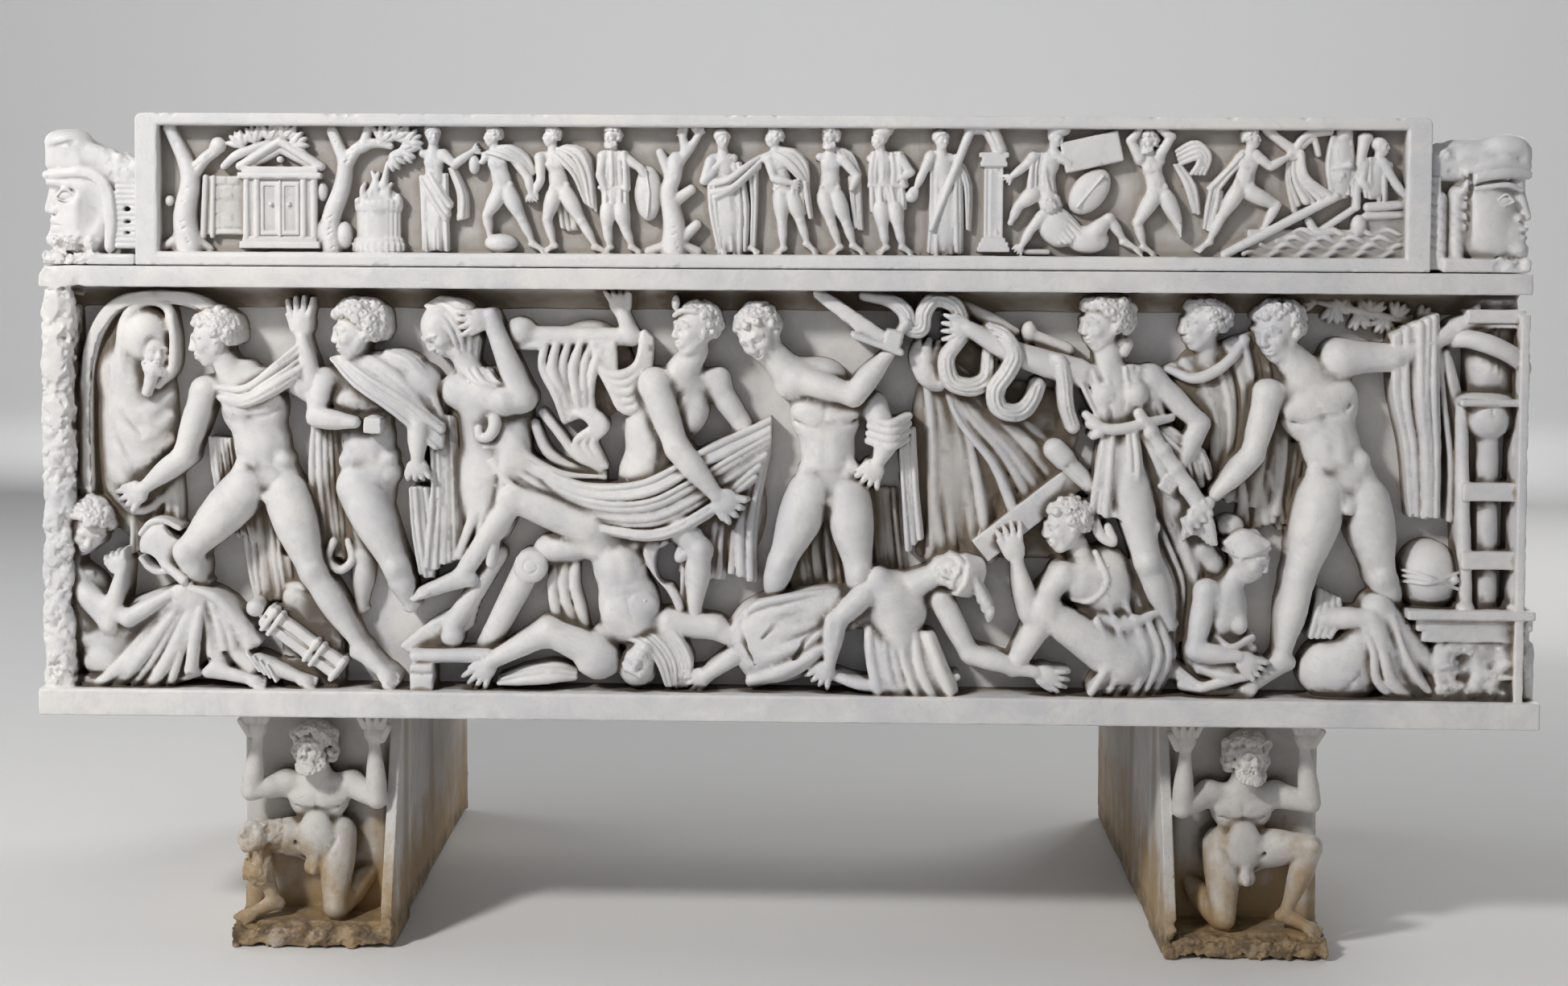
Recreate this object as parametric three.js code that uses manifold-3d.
// A carved marble sarcophagus with its lid, on two carved supports.
// Millimetres. X runs along the front, the front faces -Y, Z is up from the floor.
import * as THREE from "three";
import { ConvexGeometry } from "three/addons/geometries/ConvexGeometry.js";
import { mergeVertices } from "three/addons/utils/BufferGeometryUtils.js";
import manifoldModule from "manifold-3d";

const wasm = await manifoldModule();
wasm.setup();
const { Manifold, Mesh } = wasm;

// Chest
const CHEST_LENGTH = 2150;
const CHEST_DEPTH = 900;
const CHEST_HEIGHT = 650;
const CHEST_LEFT = -1062;
const CHEST_RIGHT = 1046;
const WALL = 90;
const CHEST_FLOOR = 100;
const RELIEF = 90;
const LEDGE_HEIGHT = 40;
const FASCIA_HEIGHT = 30;
const CAVETTO = 30;
const FASCIA_LEFT = -1069;
const FASCIA_RIGHT = 1052;

// Lid
const LID_LEFT = -1060;
const LID_RIGHT = 1046;
const LID_EDGE = 70;
const LID_RIDGE = 165;
const PANEL_LEFT = -929;
const PANEL_RIGHT = 907;
const PANEL_HEIGHT = 218;
const PANEL_THICKNESS = 95;
const PANEL_BORDER = 20;
const FRIEZE_RELIEF = 34;

// Supports
const SUPPORT_HEIGHT = 344;
const SUPPORT_WIDTH = 236;
const SUPPORT_DEPTH = 870;
const SUPPORT_LEFT = -685;
const SUPPORT_RIGHT = 670;
const NICHE = 150;
const LIP_HEIGHT = 34;

const SEAT_GAP = 0.3;
const FRONT = -CHEST_DEPTH / 2;

// Head radius of each size of figure
const BIG = 38;
const SMALL = 13.5;
const ATLAS = 34;

// ---------------------------------------------------------------- solids

function solidFrom(geometry) {
  const bare = new THREE.BufferGeometry();
  bare.setAttribute("position", geometry.getAttribute("position"));
  if (geometry.index) {
    bare.setIndex(geometry.index);
  }
  const merged = mergeVertices(bare, 1e-3);
  const mesh = new Mesh({
    numProp: 3,
    vertProperties: merged.attributes.position.array,
    triVerts: new Uint32Array(merged.index.array),
  });
  return new Manifold(mesh);
}

function meshFrom(solid, name, material) {
  const data = solid.getMesh();
  const geometry = new THREE.BufferGeometry();
  const corners = new THREE.BufferAttribute(data.vertProperties, 3);
  geometry.setAttribute("position", corners);
  geometry.setIndex(new THREE.BufferAttribute(data.triVerts, 1));
  geometry.computeVertexNormals();
  const mesh = new THREE.Mesh(geometry, material);
  mesh.name = name;
  return mesh;
}

// A block between two corners
function block(x0, x1, y0, y1, z0, z1) {
  const box = new THREE.BoxGeometry(x1 - x0, y1 - y0, z1 - z0);
  box.translate((x0 + x1) / 2, (y0 + y1) / 2, (z0 + z1) / 2);
  return solidFrom(box);
}

// A bar with a constant section along X; the section is [y, z] corners
function barAlongX(section, x0, x1) {
  const shape = new THREE.Shape(section.map(([y, z]) => new THREE.Vector2(y, z)));
  const bar = new THREE.ExtrudeGeometry(shape, { depth: x1 - x0, bevelEnabled: false });
  bar.rotateX(Math.PI / 2);
  bar.rotateZ(Math.PI / 2);
  bar.translate(x0, 0, 0);
  return solidFrom(bar);
}

// A plate standing on the ground of a relief; the outline is [x, z] corners
function plate(ground, outline, out0, out1) {
  const shape = new THREE.Shape(outline.map(([x, z]) => new THREE.Vector2(x, z)));
  const slab = new THREE.ExtrudeGeometry(shape, { depth: out1 - out0, bevelEnabled: false });
  slab.rotateX(Math.PI / 2);
  slab.translate(0, ground.y - out0, ground.z);
  return solidFrom(slab);
}

// ---------------------------------------------------------------- relief parts
// A relief point is [x, z, out]: along, up, and how far out of the ground it stands.

function toSpace(ground, [x, z, out]) {
  return new THREE.Vector3(x, ground.y - out, ground.z + z);
}

function between(a, b, share) {
  return a.map((value, i) => value + (b[i] - value) * share);
}

// A tube: one ring of corners at each point, joined in turn, with pointed ends
function tube(ground, points, radii, sides = 4) {
  const centres = points.map((point) => toSpace(ground, point));
  const forward = new THREE.Vector3(0, -1, 0);
  const last = centres.length - 1;
  const runs = centres.map((centre, i) => {
    const before = centres[Math.max(i - 1, 0)];
    const after = centres[Math.min(i + 1, last)];
    const into = centre.clone().sub(before).normalize();
    const out = after.clone().sub(centre).normalize();
    return into.add(out).normalize();
  });
  const corners = [centres[0].clone().addScaledVector(runs[0], -0.8 * radii[0])];
  centres.forEach((centre, i) => {
    const across = forward.clone().cross(runs[i]).normalize();
    const outward = runs[i].clone().cross(across);
    for (let k = 0; k < sides; k++) {
      const turn = (2 * Math.PI * (k + 0.5)) / sides;
      const corner = centre.clone();
      corner.addScaledVector(across, radii[i] * Math.cos(turn));
      corner.addScaledVector(outward, radii[i] * Math.sin(turn));
      corners.push(corner);
    }
  });
  corners.push(centres[last].clone().addScaledVector(runs[last], 0.8 * radii[last]));
  const tip = corners.length - 1;
  const faces = [];
  for (let k = 0; k < sides; k++) {
    const next = (k + 1) % sides;
    faces.push(0, 1 + next, 1 + k);
    for (let i = 0; i < last; i++) {
      const a = 1 + i * sides;
      const b = a + sides;
      faces.push(a + k, a + next, b + k);
      faces.push(a + next, b + next, b + k);
    }
    faces.push(tip, 1 + last * sides + k, 1 + last * sides + next);
  }
  const geometry = new THREE.BufferGeometry().setFromPoints(corners);
  geometry.setIndex(faces);
  return solidFrom(geometry);
}

function limb(ground, a, b, radiusA, radiusB, sides = 4) {
  return tube(ground, [a, b], [radiusA, radiusB], sides);
}

// A rounded lump with its own half-width, half-height and half-depth
function lump(ground, centre, half) {
  const geometry = new THREE.IcosahedronGeometry(1, 0);
  geometry.scale(half[0], half[2], half[1]);
  const place = toSpace(ground, centre);
  geometry.translate(place.x, place.y, place.z);
  return solidFrom(geometry);
}

// The smallest convex body round several eight-cornered knobs, each [x, z, out, radius]
function wrap(ground, knobs) {
  const points = [];
  for (const [x, z, out, radius] of knobs) {
    for (const side of [-1, 1]) {
      points.push(toSpace(ground, [x + side * radius, z, out]));
      points.push(toSpace(ground, [x, z + side * radius, out]));
      points.push(toSpace(ground, [x, z, out + side * radius]));
    }
  }
  return solidFrom(new ConvexGeometry(points));
}

// Hanging cloth: one pleated slab between two edges, its back sunk in the ground.
// The edges run along the folds; count is how many ridges there are from one to the other.
function cloth(ground, first, second, count, rise) {
  const along = [first[1][0] - first[0][0], first[1][1] - first[0][1]];
  const across = [second[0][0] - first[0][0], second[0][1] - first[0][1]];
  const mirrored = along[0] * across[1] - along[1] * across[0] < 0;
  const left = mirrored ? second : first;
  const right = mirrored ? first : second;
  const columns = 2 * count + 1;
  const rows = left.length;
  const corners = [];
  for (const sunk of [false, true]) {
    for (let row = 0; row < rows; row++) {
      for (let column = 0; column < columns; column++) {
        const point = between(left[row], right[row], column / (columns - 1));
        const out = point[2] + (column % 2 === 1 ? rise : -0.4 * rise);
        corners.push(toSpace(ground, [point[0], point[1], sunk ? -6 : out]));
      }
    }
  }
  const below = rows * columns;
  const faces = [];
  const quad = (a, b, c, d) => faces.push(a, b, c, a, c, d);
  for (let row = 0; row + 1 < rows; row++) {
    for (let column = 0; column + 1 < columns; column++) {
      const a = row * columns + column;
      quad(a, a + columns, a + columns + 1, a + 1);
      quad(below + a + 1, below + a + columns + 1, below + a + columns, below + a);
    }
  }
  for (let column = 0; column + 1 < columns; column++) {
    const end = (rows - 1) * columns + column;
    quad(column, column + 1, below + column + 1, below + column);
    quad(end + 1, end, below + end, below + end + 1);
  }
  for (let row = 0; row + 1 < rows; row++) {
    const a = row * columns;
    const b = a + columns - 1;
    quad(a + columns, a, below + a, below + a + columns);
    quad(b, b + columns, below + b + columns, below + b);
  }
  const geometry = new THREE.BufferGeometry().setFromPoints(corners);
  geometry.setIndex(faces);
  return solidFrom(geometry);
}

// An even tube through points, for snakes, edges and branches
function cord(ground, points, radius, sides = 4) {
  return tube(ground, points, points.map(() => radius), sides);
}

// ---------------------------------------------------------------- people
// Each body is worked out from its joints and one size, the radius of its head.

const GIRTH = {
  neck: 0.45,
  shoulder: 0.55,
  elbow: 0.42,
  hand: 0.32,
  hip: 0.85,
  knee: 0.55,
  ankle: 0.33,
  toe: 0.28,
};

function head(ground, centre, size) {
  return lump(ground, centre, [size * 0.86, size * 1.08, size * 0.9]);
}

function member(ground, size, points, girths) {
  const radii = points.map((point, i) => size * girths[i]);
  return tube(ground, points, radii);
}

function arm(ground, size, points) {
  const girths = [GIRTH.shoulder, GIRTH.elbow, GIRTH.hand];
  return member(ground, size, points, girths);
}

function leg(ground, size, points) {
  const girths = [GIRTH.hip, GIRTH.knee, GIRTH.ankle, GIRTH.toe];
  return member(ground, size, points, girths);
}

function torso(ground, size, { head: top, shoulders, hips }) {
  const collar = between(shoulders[0], shoulders[1], 0.5);
  const belly = between(between(hips[0], hips[1], 0.5), collar, 0.5);
  const knobs = shoulders.map((point) => [...point, size * 0.5]);
  knobs.push([...between(top, collar, 0.35), size * GIRTH.neck]);
  knobs.push(...hips.map((point) => [...point, size * 0.72]));
  knobs.push([belly[0], belly[1], 6, size * 0.6]);
  return wrap(ground, knobs);
}

function person(ground, size, joints) {
  const parts = [head(ground, joints.head, size), torso(ground, size, joints)];
  for (const points of joints.arms ?? []) {
    parts.push(arm(ground, size, points));
  }
  for (const points of joints.legs ?? []) {
    parts.push(leg(ground, size, points));
  }
  return parts;
}

// ---------------------------------------------------------------- chest front
// Heights on the chest front are measured from the underside of the chest.

function leftEnd(g) {
  const arch = [];
  for (let i = 0; i <= 8; i++) {
    const turn = Math.PI - (Math.PI * i) / 8;
    arch.push([-912 + 112 * Math.cos(turn), 498 + 112 * Math.sin(turn), 20]);
  }
  return [
    plate(g, [[-1067, 30], [-1022, 30], [-1026, 610], [-1067, 615]], -5, 70),
    cord(g, arch, 20),
    block(-1040, -770, FRONT + 25, FRONT + RELIEF + 5, g.z + 30, g.z + 60),
  ];
}

function shroudedGhost(g) {
  return [
    wrap(g, [[-927, 556, 34, 38], [-900, 530, 36, 34], [-930, 500, 34, 34]]),
    lump(g, [-912, 500, 58], [20, 30, 18]),
    wrap(g, [[-1000, 498, 26, 20], [-892, 505, 34, 26], [-985, 290, 26, 26], [-905, 280, 36, 26]]),
    cloth(g, [[-1000, 500, 34], [-990, 270, 36]], [[-890, 500, 54], [-890, 265, 54]], 2, 10),
  ];
}

function seatedFury(g) {
  const joints = {
    head: [-988, 270, 46],
    shoulders: [[-1030, 212, 34], [-965, 215, 40]],
    hips: [[-1010, 80, 38], [-960, 80, 44]],
    arms: [
      [[-1034, 208, 44], [-980, 143, 66], [-857, 183, 66]],
      [[-965, 212, 40], [-925, 165, 62], [-952, 228, 64]],
    ],
    legs: [
      [[-985, 85, 44], [-850, 170, 52], [-800, 60, 56], [-770, 50, 58]],
      [[-950, 80, 40], [-800, 150, 44], [-740, 58, 48], [-700, 50, 52]],
    ],
  };
  const skirtLeft = [[-1000, 110, 50], [-1010, 60, 52]];
  const skirtRight = [[-850, 190, 60], [-812, 75, 60]];
  const axeHead = [[-925, 290], [-850, 300], [-870, 258], [-850, 215], [-920, 225], [-900, 258]];
  return [
    ...person(g, BIG, joints),
    cloth(g, skirtLeft, skirtRight, 2, 13),
    plate(g, axeHead, -4, 36),
    limb(g, [-887, 258, 34], [-858, 188, 50], 7, 4, 4),
    plate(g, [[-760, 40], [-670, 40], [-676, 180], [-742, 180]], -4, 26),
  ];
}

function firstYouth(g) {
  const joints = {
    head: [-822, 541, 48],
    shoulders: [[-832, 466, 50], [-728, 496, 46]],
    hips: [[-782, 335, 44], [-738, 335, 50]],
    arms: [
      [[-838, 465, 58], [-855, 370, 66], [-951, 302, 60]],
      [[-720, 500, 44], [-672, 470, 42], [-703, 588, 38]],
    ],
    legs: [
      [[-780, 328, 46], [-857, 237, 54], [-832, 165, 42]],
      [[-735, 325, 54], [-678, 205, 58], [-608, 90, 56], [-567, 48, 60]],
    ],
  };
  return [
    ...person(g, BIG, joints),
    cloth(g, [[-800, 480, 52], [-740, 505, 52]], [[-770, 455, 60], [-700, 470, 60]], 2, 9),
  ];
}

function secondYouth(g) {
  const joints = {
    head: [-616, 557, 48],
    shoulders: [[-660, 484, 46], [-548, 490, 40]],
    hips: [[-640, 338, 42], [-588, 335, 44]],
    arms: [
      [[-667, 484, 52], [-671, 424, 58], [-622, 425, 70]],
      [[-540, 488, 40], [-516, 430, 42], [-524, 345, 58]],
    ],
    legs: [
      [[-640, 328, 40], [-628, 235, 36], [-650, 130, 28]],
      [[-585, 328, 46], [-552, 212, 52], [-530, 150, 40]],
    ],
  };
  const cloakLeft = [[-645, 502, 56], [-530, 410, 62], [-535, 180, 26]];
  const cloakRight = [[-590, 500, 56], [-492, 420, 50], [-465, 190, 24]];
  return [
    ...person(g, BIG, joints),
    cloth(g, cloakLeft, cloakRight, 2, 12),
  ];
}

function oldNurse(g) {
  const joints = {
    head: [-506, 548, 48],
    shoulders: [[-458, 482, 46], [-392, 540, 34]],
    hips: [[-440, 350, 36], [-400, 350, 36]],
    arms: [
      [[-462, 480, 52], [-384, 452, 62], [-456, 563, 60]],
      [[-392, 540, 34], [-300, 520, 34], [-234, 592, 44]],
    ],
  };
  const mantleLeft = [[-372, 520, 40], [-330, 440, 40], [-300, 372, 30]];
  const mantleRight = [[-215, 560, 44], [-225, 470, 40], [-262, 360, 30]];
  return [
    ...person(g, BIG * 0.94, joints),
    cloth(g, mantleLeft, mantleRight, 2, 13),
    cloth(g, [[-440, 400, 42], [-455, 250, 24]], [[-385, 400, 42], [-385, 300, 24]], 2, 15),
    lump(g, [-425, 410, 14], [60, 60, 24]),
  ];
}

function fallenMan(g) {
  const joints = {
    head: [-204, 82, 48],
    shoulders: [[-262, 104, 44], [-178, 146, 42]],
    hips: [[-268, 262, 44], [-232, 268, 42]],
    arms: [
      [[-268, 102, 50], [-340, 125, 60], [-446, 58, 62]],
      [[-172, 148, 42], [-52, 104, 56], [-114, 62, 62]],
    ],
    legs: [
      [[-272, 268, 48], [-388, 332, 58], [-446, 206, 58], [-533, 182, 52]],
      [[-236, 272, 40], [-300, 300, 34], [-330, 200, 26]],
    ],
  };
  return [
    ...person(g, BIG, joints),
    block(-540, -500, FRONT + 30, FRONT + RELIEF + 5, g.z + 35, g.z + 80),
    plate(g, [[-500, 35], [-280, 35], [-290, 62], [-480, 66]], -4, 40),
  ];
}

function bendingMan(g) {
  const joints = {
    head: [-129, 562, 48],
    shoulders: [[-186, 478, 50], [-105, 470, 28]],
    hips: [[-205, 340, 40], [-150, 330, 36]],
    arms: [
      [[-184, 484, 58], [-151, 380, 68], [-76, 296, 66]],
      [[-98, 470, 30], [-67, 409, 30], [-110, 340, 26]],
    ],
    legs: [
      [[-180, 320, 46], [-110, 238, 56], [-124, 152, 44]],
    ],
  };
  const skirtLeft = [[-400, 392, 26], [-330, 330, 40], [-310, 270, 36]];
  const skirtRight = [[-160, 372, 52], [-90, 330, 60], [-70, 262, 46]];
  return [
    ...person(g, BIG, joints),
    cloth(g, skirtLeft, skirtRight, 2, 14),
    cloth(g, [[-60, 425, 30], [-130, 320, 34]], [[-8, 420, 34], [-62, 300, 34]], 2, 11),
    cloth(g, [[-195, 262, 40], [-150, 165, 30]], [[-130, 262, 44], [-140, 225, 40]], 1, 10),
  ];
}

function swordYouth(g) {
  const joints = {
    head: [-36, 558, 50],
    shoulders: [[-4, 482, 50], [62, 505, 42]],
    hips: [[36, 345, 46], [84, 345, 46]],
    arms: [
      [[0, 478, 56], [98, 464, 68], [156, 545, 66]],
      [[70, 500, 38], [148, 440, 44], [132, 365, 60]],
    ],
    legs: [
      [[34, 332, 48], [-4, 224, 54], [-14, 172, 46]],
      [[88, 332, 44], [107, 214, 42], [112, 180, 36]],
    ],
  };
  return [
    ...person(g, BIG, joints),
    plate(g, [[43, 612], [72, 606], [164, 552], [146, 524]], 46, 62),
    cloth(g, [[125, 430, 46], [118, 395, 58]], [[175, 430, 40], [178, 390, 46]], 2, 16),
    cloth(g, [[140, 370, 36], [150, 235, 20]], [[176, 400, 30], [192, 240, 18]], 2, 12),
  ];
}

function fallenWoman(g) {
  const joints = {
    head: [250, 215, 46],
    shoulders: [[142, 210, 46], [206, 196, 42]],
    hips: [[120, 82, 42], [170, 80, 40]],
    arms: [
      [[138, 204, 52], [74, 142, 60], [50, 54, 62]],
      [[226, 178, 52], [278, 92, 62], [405, 58, 64]],
    ],
  };
  return [
    ...person(g, BIG, joints),
    lump(g, [268, 180, 34], [18, 26, 16]),
    wrap(g, [[-62, 142, 46, 38], [-58, 92, 44, 30], [26, 130, 50, 42], [34, 88, 52, 34]]),
    cloth(g, [[-60, 70, 56], [60, 64, 66]], [[-50, 168, 56], [48, 152, 66]], 2, 11),
    plate(g, [[110, 34], [300, 34], [236, 96], [180, 90]], -4, 56),
  ];
}

function curtain(g) {
  const left = [[196, 470, 30], [206, 350, 26], [226, 235, 20]];
  const right = [[392, 385, 34], [420, 350, 30], [420, 320, 26]];
  const snake = [
    [120, 604, 44], [158, 604, 46], [182, 566, 48], [196, 606, 50], [236, 596, 52],
    [246, 530, 56], [232, 490, 56], [266, 478, 54], [288, 540, 60], [326, 556, 62],
    [318, 505, 60], [302, 470, 58], [330, 444, 54], [360, 470, 46],
  ];
  return [
    cloth(g, left, right, 3, 15),
    cloth(g, [[180, 540, 34], [190, 462, 30]], [[230, 540, 36], [290, 430, 34]], 2, 15),
    cord(g, snake, 12, 5),
    plate(g, [[262, 278], [288, 268], [428, 345], [396, 392]], 24, 44),
  ];
}

function snakeFury(g) {
  const joints = {
    head: [463, 575, 48],
    shoulders: [[416, 498, 46], [520, 496, 44]],
    hips: [[462, 375, 42], [506, 372, 40]],
    arms: [
      [[412, 500, 52], [322, 530, 60], [225, 570, 62]],
      [[526, 498, 48], [596, 430, 42], [570, 380, 36]],
    ],
    legs: [
      [[490, 350, 42], [522, 220, 46], [553, 134, 40]],
      [[470, 350, 38], [450, 250, 28]],
    ],
  };
  return [
    ...person(g, BIG, joints),
    cloth(g, [[440, 410, 42], [455, 330, 50], [500, 235, 42]], [[505, 410, 44], [560, 330, 50], [620, 215, 34]], 2, 13),
    cord(g, [[383, 530, 60], [392, 470, 66], [418, 420, 62]], 11, 5),
    limb(g, [508, 440, 40], [580, 322, 56], 9, 14, 5),
    lump(g, [592, 290, 52], [26, 34, 22]),
  ];
}

function furyBehind(g) {
  return [
    head(g, [598, 575, 34], BIG * 0.9),
    limb(g, [598, 575, 30], [590, 500, 24], 18, 24),
    cloth(g, [[556, 508, 28], [600, 440, 26], [618, 350, 28]], [[668, 560, 30], [650, 450, 28], [636, 350, 28]], 2, 14),
  ];
}

function servants(g) {
  const crouching = {
    head: [407, 283, 48],
    shoulders: [[398, 208, 48], [450, 208, 40]],
    hips: [[480, 96, 44], [505, 86, 38]],
    arms: [
      [[398, 210, 54], [338, 160, 60], [312, 286, 58]],
    ],
    legs: [
      [[480, 96, 48], [378, 158, 60], [336, 96, 50]],
      [[500, 80, 38], [552, 66, 42], [596, 34, 46]],
    ],
  };
  const seated = {
    head: [668, 238, 50],
    shoulders: [[614, 190, 44], [676, 180, 36]],
    hips: [[620, 76, 38], [656, 72, 38]],
    arms: [
      [[613, 190, 52], [584, 102, 56], [681, 86, 66]],
    ],
  };
  return [
    ...person(g, BIG, crouching),
    cloth(g, [[460, 240, 44], [430, 80, 52]], [[540, 140, 40], [530, 55, 44]], 2, 14),
    ...person(g, BIG * 0.88, seated),
    cloth(g, [[570, 66, 46], [600, 46, 50]], [[660, 70, 52], [672, 46, 52]], 1, 10),
  ];
}

function armedYouth(g) {
  const joints = {
    head: [700, 566, 48],
    shoulders: [[694, 470, 48], [782, 524, 46]],
    hips: [[776, 345, 44], [830, 340, 46]],
    arms: [
      [[688, 468, 56], [670, 388, 58], [592, 316, 60]],
      [[790, 530, 52], [867, 528, 54], [976, 590, 48]],
    ],
    legs: [
      [[772, 332, 46], [740, 209, 54], [720, 80, 50], [660, 36, 60]],
      [[836, 328, 48], [858, 216, 56], [884, 172, 36]],
    ],
  };
  return [
    ...person(g, BIG, joints),
    cloth(g, [[862, 560, 62], [876, 480, 58], [900, 330, 40]], [[928, 580, 56], [940, 440, 50], [950, 300, 30]], 2, 12),
    cord(g, [[740, 602, 20], [800, 598, 26], [860, 582, 30], [930, 580, 36]], 9),
  ];
}

function tripod(g) {
  return [
    limb(g, [1003, 160, 20], [1003, 590, 20], 34, 34, 8),
    block(962, 1050, FRONT + 28, FRONT + RELIEF + 5, g.z + 576, g.z + 600),
    limb(g, [948, 548, 46], [1050, 516, 46], 16, 16, 5),
    wrap(g, [[972, 458, 40, 14], [1036, 458, 40, 14], [1003, 422, 36, 22]]),
    block(962, 1050, FRONT + 36, FRONT + RELIEF + 5, g.z + 462, g.z + 476),
    block(970, 1046, FRONT + 40, FRONT + RELIEF + 5, g.z + 325, g.z + 348),
    block(970, 1046, FRONT + 40, FRONT + RELIEF + 5, g.z + 228, g.z + 250),
    block(968, 980, FRONT + 36, FRONT + RELIEF + 5, g.z + 160, g.z + 470),
    lump(g, [926, 214, 12], [42, 54, 28]),
    block(885, 1066, FRONT + 16, FRONT + RELIEF + 5, g.z + 156, g.z + 170),
    block(895, 1058, FRONT + 26, FRONT + RELIEF + 5, g.z + 120, g.z + 160),
    block(925, 1073, FRONT + 30, FRONT + RELIEF + 5, g.z + 30, g.z + 124),
    block(1038, 1052, FRONT + 22, FRONT + RELIEF + 5, g.z + 120, g.z + 600),
  ];
}

function lyingFury(g) {
  return [
    wrap(g, [[776, 84, 44, 34], [812, 96, 50, 34], [800, 62, 46, 30]]),
    leg(g, BIG, [[806, 92, 50], [853, 172, 58], [938, 76, 58], [1030, 72, 52]]),
    arm(g, BIG, [[782, 142, 30], [838, 150, 40], [866, 110, 60]]),
    cloth(g, [[846, 150, 56], [836, 70, 54]], [[890, 150, 50], [925, 55, 48]], 2, 13),
  ];
}

function chestShell() {
  const z0 = SUPPORT_HEIGHT + SEAT_GAP;
  const wallFace = FRONT + RELIEF;
  const back = -FRONT;
  const core = block(CHEST_LEFT, CHEST_RIGHT, wallFace, back, z0, z0 + CHEST_HEIGHT);
  const foot = CHEST_LENGTH / 2;
  const ledge = block(-foot, foot, FRONT, back, z0, z0 + LEDGE_HEIGHT);
  const fasciaFoot = z0 + CHEST_HEIGHT - FASCIA_HEIGHT;
  const section = [
    [wallFace + 20, z0 + CHEST_HEIGHT],
    [FRONT, z0 + CHEST_HEIGHT],
    [FRONT, fasciaFoot],
  ];
  for (let i = 0; i <= 3; i++) {
    const turn = (Math.PI / 2) * (i / 3);
    const y = FRONT + 14 + (RELIEF - 14) * Math.sin(turn);
    section.push([y, fasciaFoot - CAVETTO * (1 - Math.cos(turn))]);
  }
  section.push([wallFace + 20, fasciaFoot - CAVETTO]);
  const fascia = barAlongX(section, FASCIA_LEFT, FASCIA_RIGHT);
  return Manifold.union([core, ledge, fascia]);
}

function burialCavity() {
  const z0 = SUPPORT_HEIGHT + SEAT_GAP;
  const x0 = CHEST_LEFT + WALL;
  const x1 = CHEST_RIGHT - WALL;
  const y0 = FRONT + RELIEF + WALL;
  const y1 = -FRONT - WALL;
  return block(x0, x1, y0, y1, z0 + CHEST_FLOOR, z0 + CHEST_HEIGHT + 10);
}

function chest() {
  const ground = { y: FRONT + RELIEF, z: SUPPORT_HEIGHT + SEAT_GAP };
  const groups = [
    leftEnd, shroudedGhost, seatedFury, firstYouth, secondYouth, oldNurse, fallenMan,
    bendingMan, swordYouth, fallenWoman, curtain, snakeFury, furyBehind, servants,
    armedYouth, tripod, lyingFury,
  ];
  const carving = groups.flatMap((group) => group(ground));
  const joined = Manifold.union([chestShell(), ...carving]);
  const limits = block(-1075, 1075, FRONT, -FRONT, ground.z, ground.z + CHEST_HEIGHT);
  return joined.intersect(limits).subtract(burialCavity());
}

// ---------------------------------------------------------------- lid
// Heights on the lid are measured from its underside.

const LID_PEOPLE = [
  { head: [-505, 185], hips: [-500, 108], feet: [[-510, 24], [-472, 24]], hands: [[-444, 166]] },
  { head: [-420, 185], hips: [-405, 112], feet: [[-410, 30], [-350, 24]], hands: [[-438, 163]] },
  { head: [-333, 185], hips: [-322, 112], feet: [[-328, 24], [-262, 22]], hands: [[-352, 112]] },
  { head: [-249, 184], hips: [-245, 120], feet: [[-247, 24], [-212, 24]], hands: [[-205, 150]] },
  { head: [-91, 182], hips: [-90, 112], feet: [[-92, 24], [-42, 24]], hands: [[-42, 160]] },
  { head: [-16, 182], hips: [-8, 108], feet: [[-14, 24], [34, 24]], hands: [[28, 118]] },
  { head: [60, 182], hips: [64, 108], feet: [[66, 24], [112, 24]], hands: [[104, 140]] },
  { head: [135, 182], hips: [138, 104], feet: [[140, 24], [180, 24]], hands: [[172, 112]] },
  { head: [219, 182], hips: [222, 104], feet: [[215, 24], [258, 24]], hands: [[178, 104]] },
  { head: [380, 182], hips: [366, 100], feet: [[332, 28], [400, 60]], hands: [[318, 128]] },
  { head: [512, 180], hips: [516, 108], feet: [[514, 24], [588, 24]], hands: [[498, 150]] },
  { head: [657, 185], hips: [655, 110], feet: [[600, 36], [672, 58]], hands: [[712, 165]] },
  { head: [781, 178], hips: [780, 112], feet: [[776, 90], [796, 90]], hands: [[800, 150]] },
  { head: [837, 176], hips: [830, 110], feet: [[822, 92], [872, 96]], hands: [[858, 120]] },
];

function lidPerson(g, { head: top, hips, feet, hands }) {
  const collar = [(top[0] * 2 + hips[0]) / 3, top[1] - 24, 16];
  const middle = [...hips, 14];
  const parts = [
    wrap(g, [[...top, 18, SMALL]]),
    tube(g, [collar, middle, [...feet[0], 12]], [19, 15, 7], 3),
    limb(g, middle, [...feet[1], 12], 13, 7, 3),
  ];
  for (const hand of hands) {
    parts.push(limb(g, collar, [...hand, 14], 9, 7, 3));
  }
  return parts;
}

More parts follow.
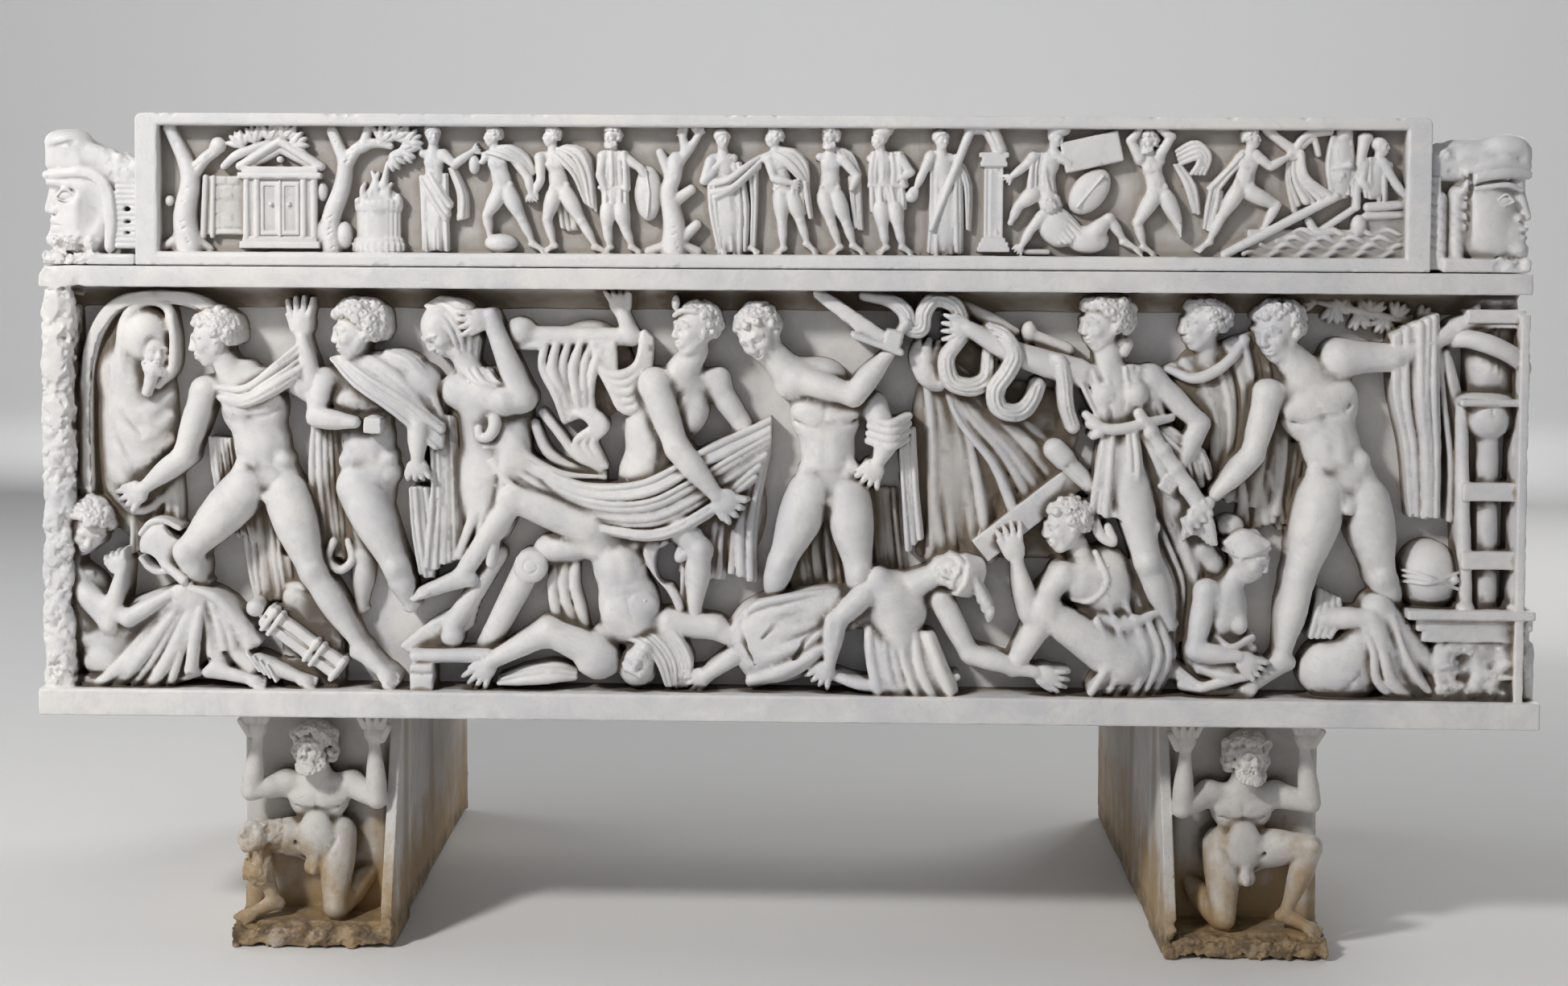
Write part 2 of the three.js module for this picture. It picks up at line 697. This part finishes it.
function lidScenery(g) {
  const tree = (points, radius) => cord(g, points, radius);
  return [
    tree([[-895, 28, 14], [-868, 70, 16], [-858, 130, 16], [-822, 176, 16]], 9),
    tree([[-866, 100, 14], [-886, 180, 14]], 8),
    tree([[-640, 30, 14], [-652, 70, 14], [-632, 125, 16], [-600, 180, 16]], 10),
    tree([[-636, 120, 14], [-650, 185, 14]], 8),
    plate(g, [[-828, 28], [-780, 28], [-780, 122], [-828, 122]], -3, 14),
    plate(g, [[-780, 28], [-668, 28], [-668, 132], [-722, 172], [-780, 132]], -3, 20),
    plate(g, [[-830, 124], [-662, 124], [-662, 136], [-830, 136]], -3, 28),
    lump(g, [-548, 182, 14], [34, 24, 16]),
    wrap(g, [[-600, 40, 10, 22], [-562, 40, 10, 22], [-600, 84, 12, 20], [-562, 84, 12, 20]]),
    tree([[-160, 30, 12], [-158, 100, 14], [-172, 150, 14]], 13),
    tree([[-158, 100, 14], [-138, 180, 16], [-110, 186, 14]], 9),
    lump(g, [-200, 112, 10], [20, 38, 14]),
    plate(g, [[281, 28], [309, 28], [306, 124], [284, 124]], -3, 26),
    plate(g, [[271, 126], [314, 126], [310, 148], [274, 148]], -3, 29),
    tree([[294, 146, 18], [280, 186, 18], [258, 198, 16]], 10),
    plate(g, [[392, 138], [396, 150], [466, 192], [480, 178], [460, 142]], -3, 27),
    plate(g, [[396, 82], [460, 100], [458, 138], [400, 136]], -3, 20),
    wrap(g, [[366, 44, 14, 22], [420, 50, 14, 22], [440, 44, 12, 16]]),
    tree([[440, 60, 14], [462, 50, 14], [500, 30, 12]], 8),
    tree([[530, 148, 14], [590, 160, 8], [588, 110, 4]], 10),
    tree([[612, 24, 20], [782, 108, 20]], 9),
    plate(g, [[700, 110], [712, 190], [766, 192], [742, 140], [768, 100]], -3, 18),
    plate(g, [[800, 24], [877, 24], [877, 92], [800, 92]], -3, 22),
    plate(g, [[660, 22], [877, 22], [877, 52], [740, 56]], -3, 12),
  ];
}

// A mask in profile at a front corner; side is -1 at the left end and +1 at the right
function cornerMask(side, z0) {
  const middle = side < 0 ? 936 : 905;
  const reach = side < 0 ? 1064 : 1050;
  const line = [
    [middle - 20, 2],
    [reach - 16, 2],
    [reach, 34],
    [reach - 6, 60],
    [reach + 2, 76],
    [reach - 8, 108],
    [reach - 4, 150],
    [reach, 190],
    [reach - 50, 198],
    [middle - 20, side < 0 ? 150 : 168],
  ];
  const shape = new THREE.Shape(line.map(([x, z]) => new THREE.Vector2(side * x, z)));
  const slab = new THREE.ExtrudeGeometry(shape, { depth: 150, bevelEnabled: false });
  slab.rotateX(Math.PI / 2);
  slab.translate(0, FRONT + 150, z0);
  const ground = { y: FRONT + 26, z: z0 };
  const cheek = lump(ground, [side * (reach - 44), 78, -6], [34, 52, 26]);
  const brow = limb(ground, [side * (reach - 80), 122, 0], [side * (reach - 6), 124, 0], 10, 10, 5);
  const hair = cloth(
    ground,
    [[side * (middle + 12), 118, 2], [side * (middle + 12), 24, 2]],
    [[side * (middle + 34), 118, 2], [side * (middle + 34), 24, 2]],
    2,
    11,
  );
  return [solidFrom(slab), cheek, brow, hair];
}

function lid() {
  const z0 = SUPPORT_HEIGHT + CHEST_HEIGHT + 2 * SEAT_GAP;
  const panelBack = FRONT + PANEL_THICKNESS;
  const roof = [
    [FRONT + 20, z0],
    [-FRONT, z0],
    [-FRONT, z0 + LID_EDGE],
    [20, z0 + LID_RIDGE],
    [FRONT + 20, z0 + LID_EDGE],
  ].reverse();
  const roofBar = barAlongX(roof, LID_LEFT, LID_RIGHT);
  const panel = block(PANEL_LEFT, PANEL_RIGHT, FRONT, panelBack, z0, z0 + PANEL_HEIGHT);
  const recess = block(
    PANEL_LEFT + 31,
    PANEL_RIGHT - 31,
    FRONT - 10,
    FRONT + FRIEZE_RELIEF,
    z0 + PANEL_BORDER,
    z0 + PANEL_HEIGHT - PANEL_BORDER,
  );
  const ground = { y: FRONT + FRIEZE_RELIEF, z: z0 };
  const carving = [
    ...LID_PEOPLE.flatMap((figure) => lidPerson(ground, figure)),
    ...lidScenery(ground),
  ];
  const framed = Manifold.union([panel.subtract(recess), roofBar]);
  const parts = [...carving, ...cornerMask(-1, z0), ...cornerMask(1, z0)];
  const joined = Manifold.union([framed, ...parts]);
  const limits = block(-1066, 1054, FRONT, -FRONT, z0, z0 + PANEL_HEIGHT);
  return joined.intersect(limits);
}

// ---------------------------------------------------------------- supports

function supportBlock(middle, inner) {
  const half = SUPPORT_WIDTH / 2;
  const y0 = FRONT + 22;
  const y1 = y0 + SUPPORT_DEPTH;
  const body = block(middle - half, middle + half, y0 + NICHE, y1, 0, SUPPORT_HEIGHT);
  const lip = block(middle - half, middle + half, y0, y0 + NICHE + 10, 0, LIP_HEIGHT);
  const edge = middle + inner * (half - 7);
  const flange = block(edge - 7, edge + 7, y0 + 30, y0 + NICHE + 10, 0, SUPPORT_HEIGHT);
  return Manifold.union([body, lip, flange]);
}

function leftSupport() {
  const ground = { y: FRONT + 22 + NICHE, z: 0 };
  const joints = {
    head: [-661, 295, 96],
    shoulders: [[-708, 244, 80], [-640, 244, 80]],
    hips: [[-700, 142, 82], [-655, 142, 82]],
    arms: [
      [[-712, 246, 84], [-782, 236, 96], [-764, 338, 92]],
      [[-636, 246, 84], [-588, 234, 100], [-596, 338, 100]],
    ],
    legs: [
      [[-704, 142, 90], [-776, 152, 118], [-756, 60, 104], [-748, 44, 128]],
      [[-652, 146, 92], [-650, 48, 116], [-610, 92, 70]],
    ],
  };
  return Manifold.union([supportBlock(SUPPORT_LEFT, 1), ...person(ground, ATLAS, joints)]);
}

function rightSupport() {
  const ground = { y: FRONT + 22 + NICHE, z: 0 };
  const joints = {
    head: [682, 292, 96],
    shoulders: [[640, 246, 80], [724, 250, 80]],
    hips: [[656, 148, 82], [704, 148, 82]],
    arms: [
      [[636, 248, 84], [578, 224, 100], [578, 338, 94]],
      [[728, 252, 84], [780, 232, 96], [763, 338, 92]],
    ],
    legs: [
      [[650, 152, 92], [656, 48, 116], [616, 92, 70]],
      [[712, 150, 90], [770, 166, 112], [732, 80, 100], [768, 46, 118]],
    ],
  };
  const joined = Manifold.union([supportBlock(SUPPORT_RIGHT, -1), ...person(ground, ATLAS, joints)]);
  return joined;
}

// ---------------------------------------------------------------- materials and assembly

const marble = new THREE.MeshStandardMaterial({ color: 0xd9d7d2, roughness: 0.55 });
const stainedMarble = new THREE.MeshStandardMaterial({ color: 0xb8a88a, roughness: 0.7 });

function trimmedSupport(solid) {
  return solid.intersect(block(-1075, 1075, FRONT, -FRONT, 0, SUPPORT_HEIGHT));
}

const sarcophagus = new THREE.Group();
sarcophagus.add(meshFrom(chest(), "chest", marble));
sarcophagus.add(meshFrom(lid(), "lid", marble));
sarcophagus.add(meshFrom(trimmedSupport(leftSupport()), "support_left", stainedMarble));
sarcophagus.add(meshFrom(trimmedSupport(rightSupport()), "support_right", stainedMarble));

export default sarcophagus;
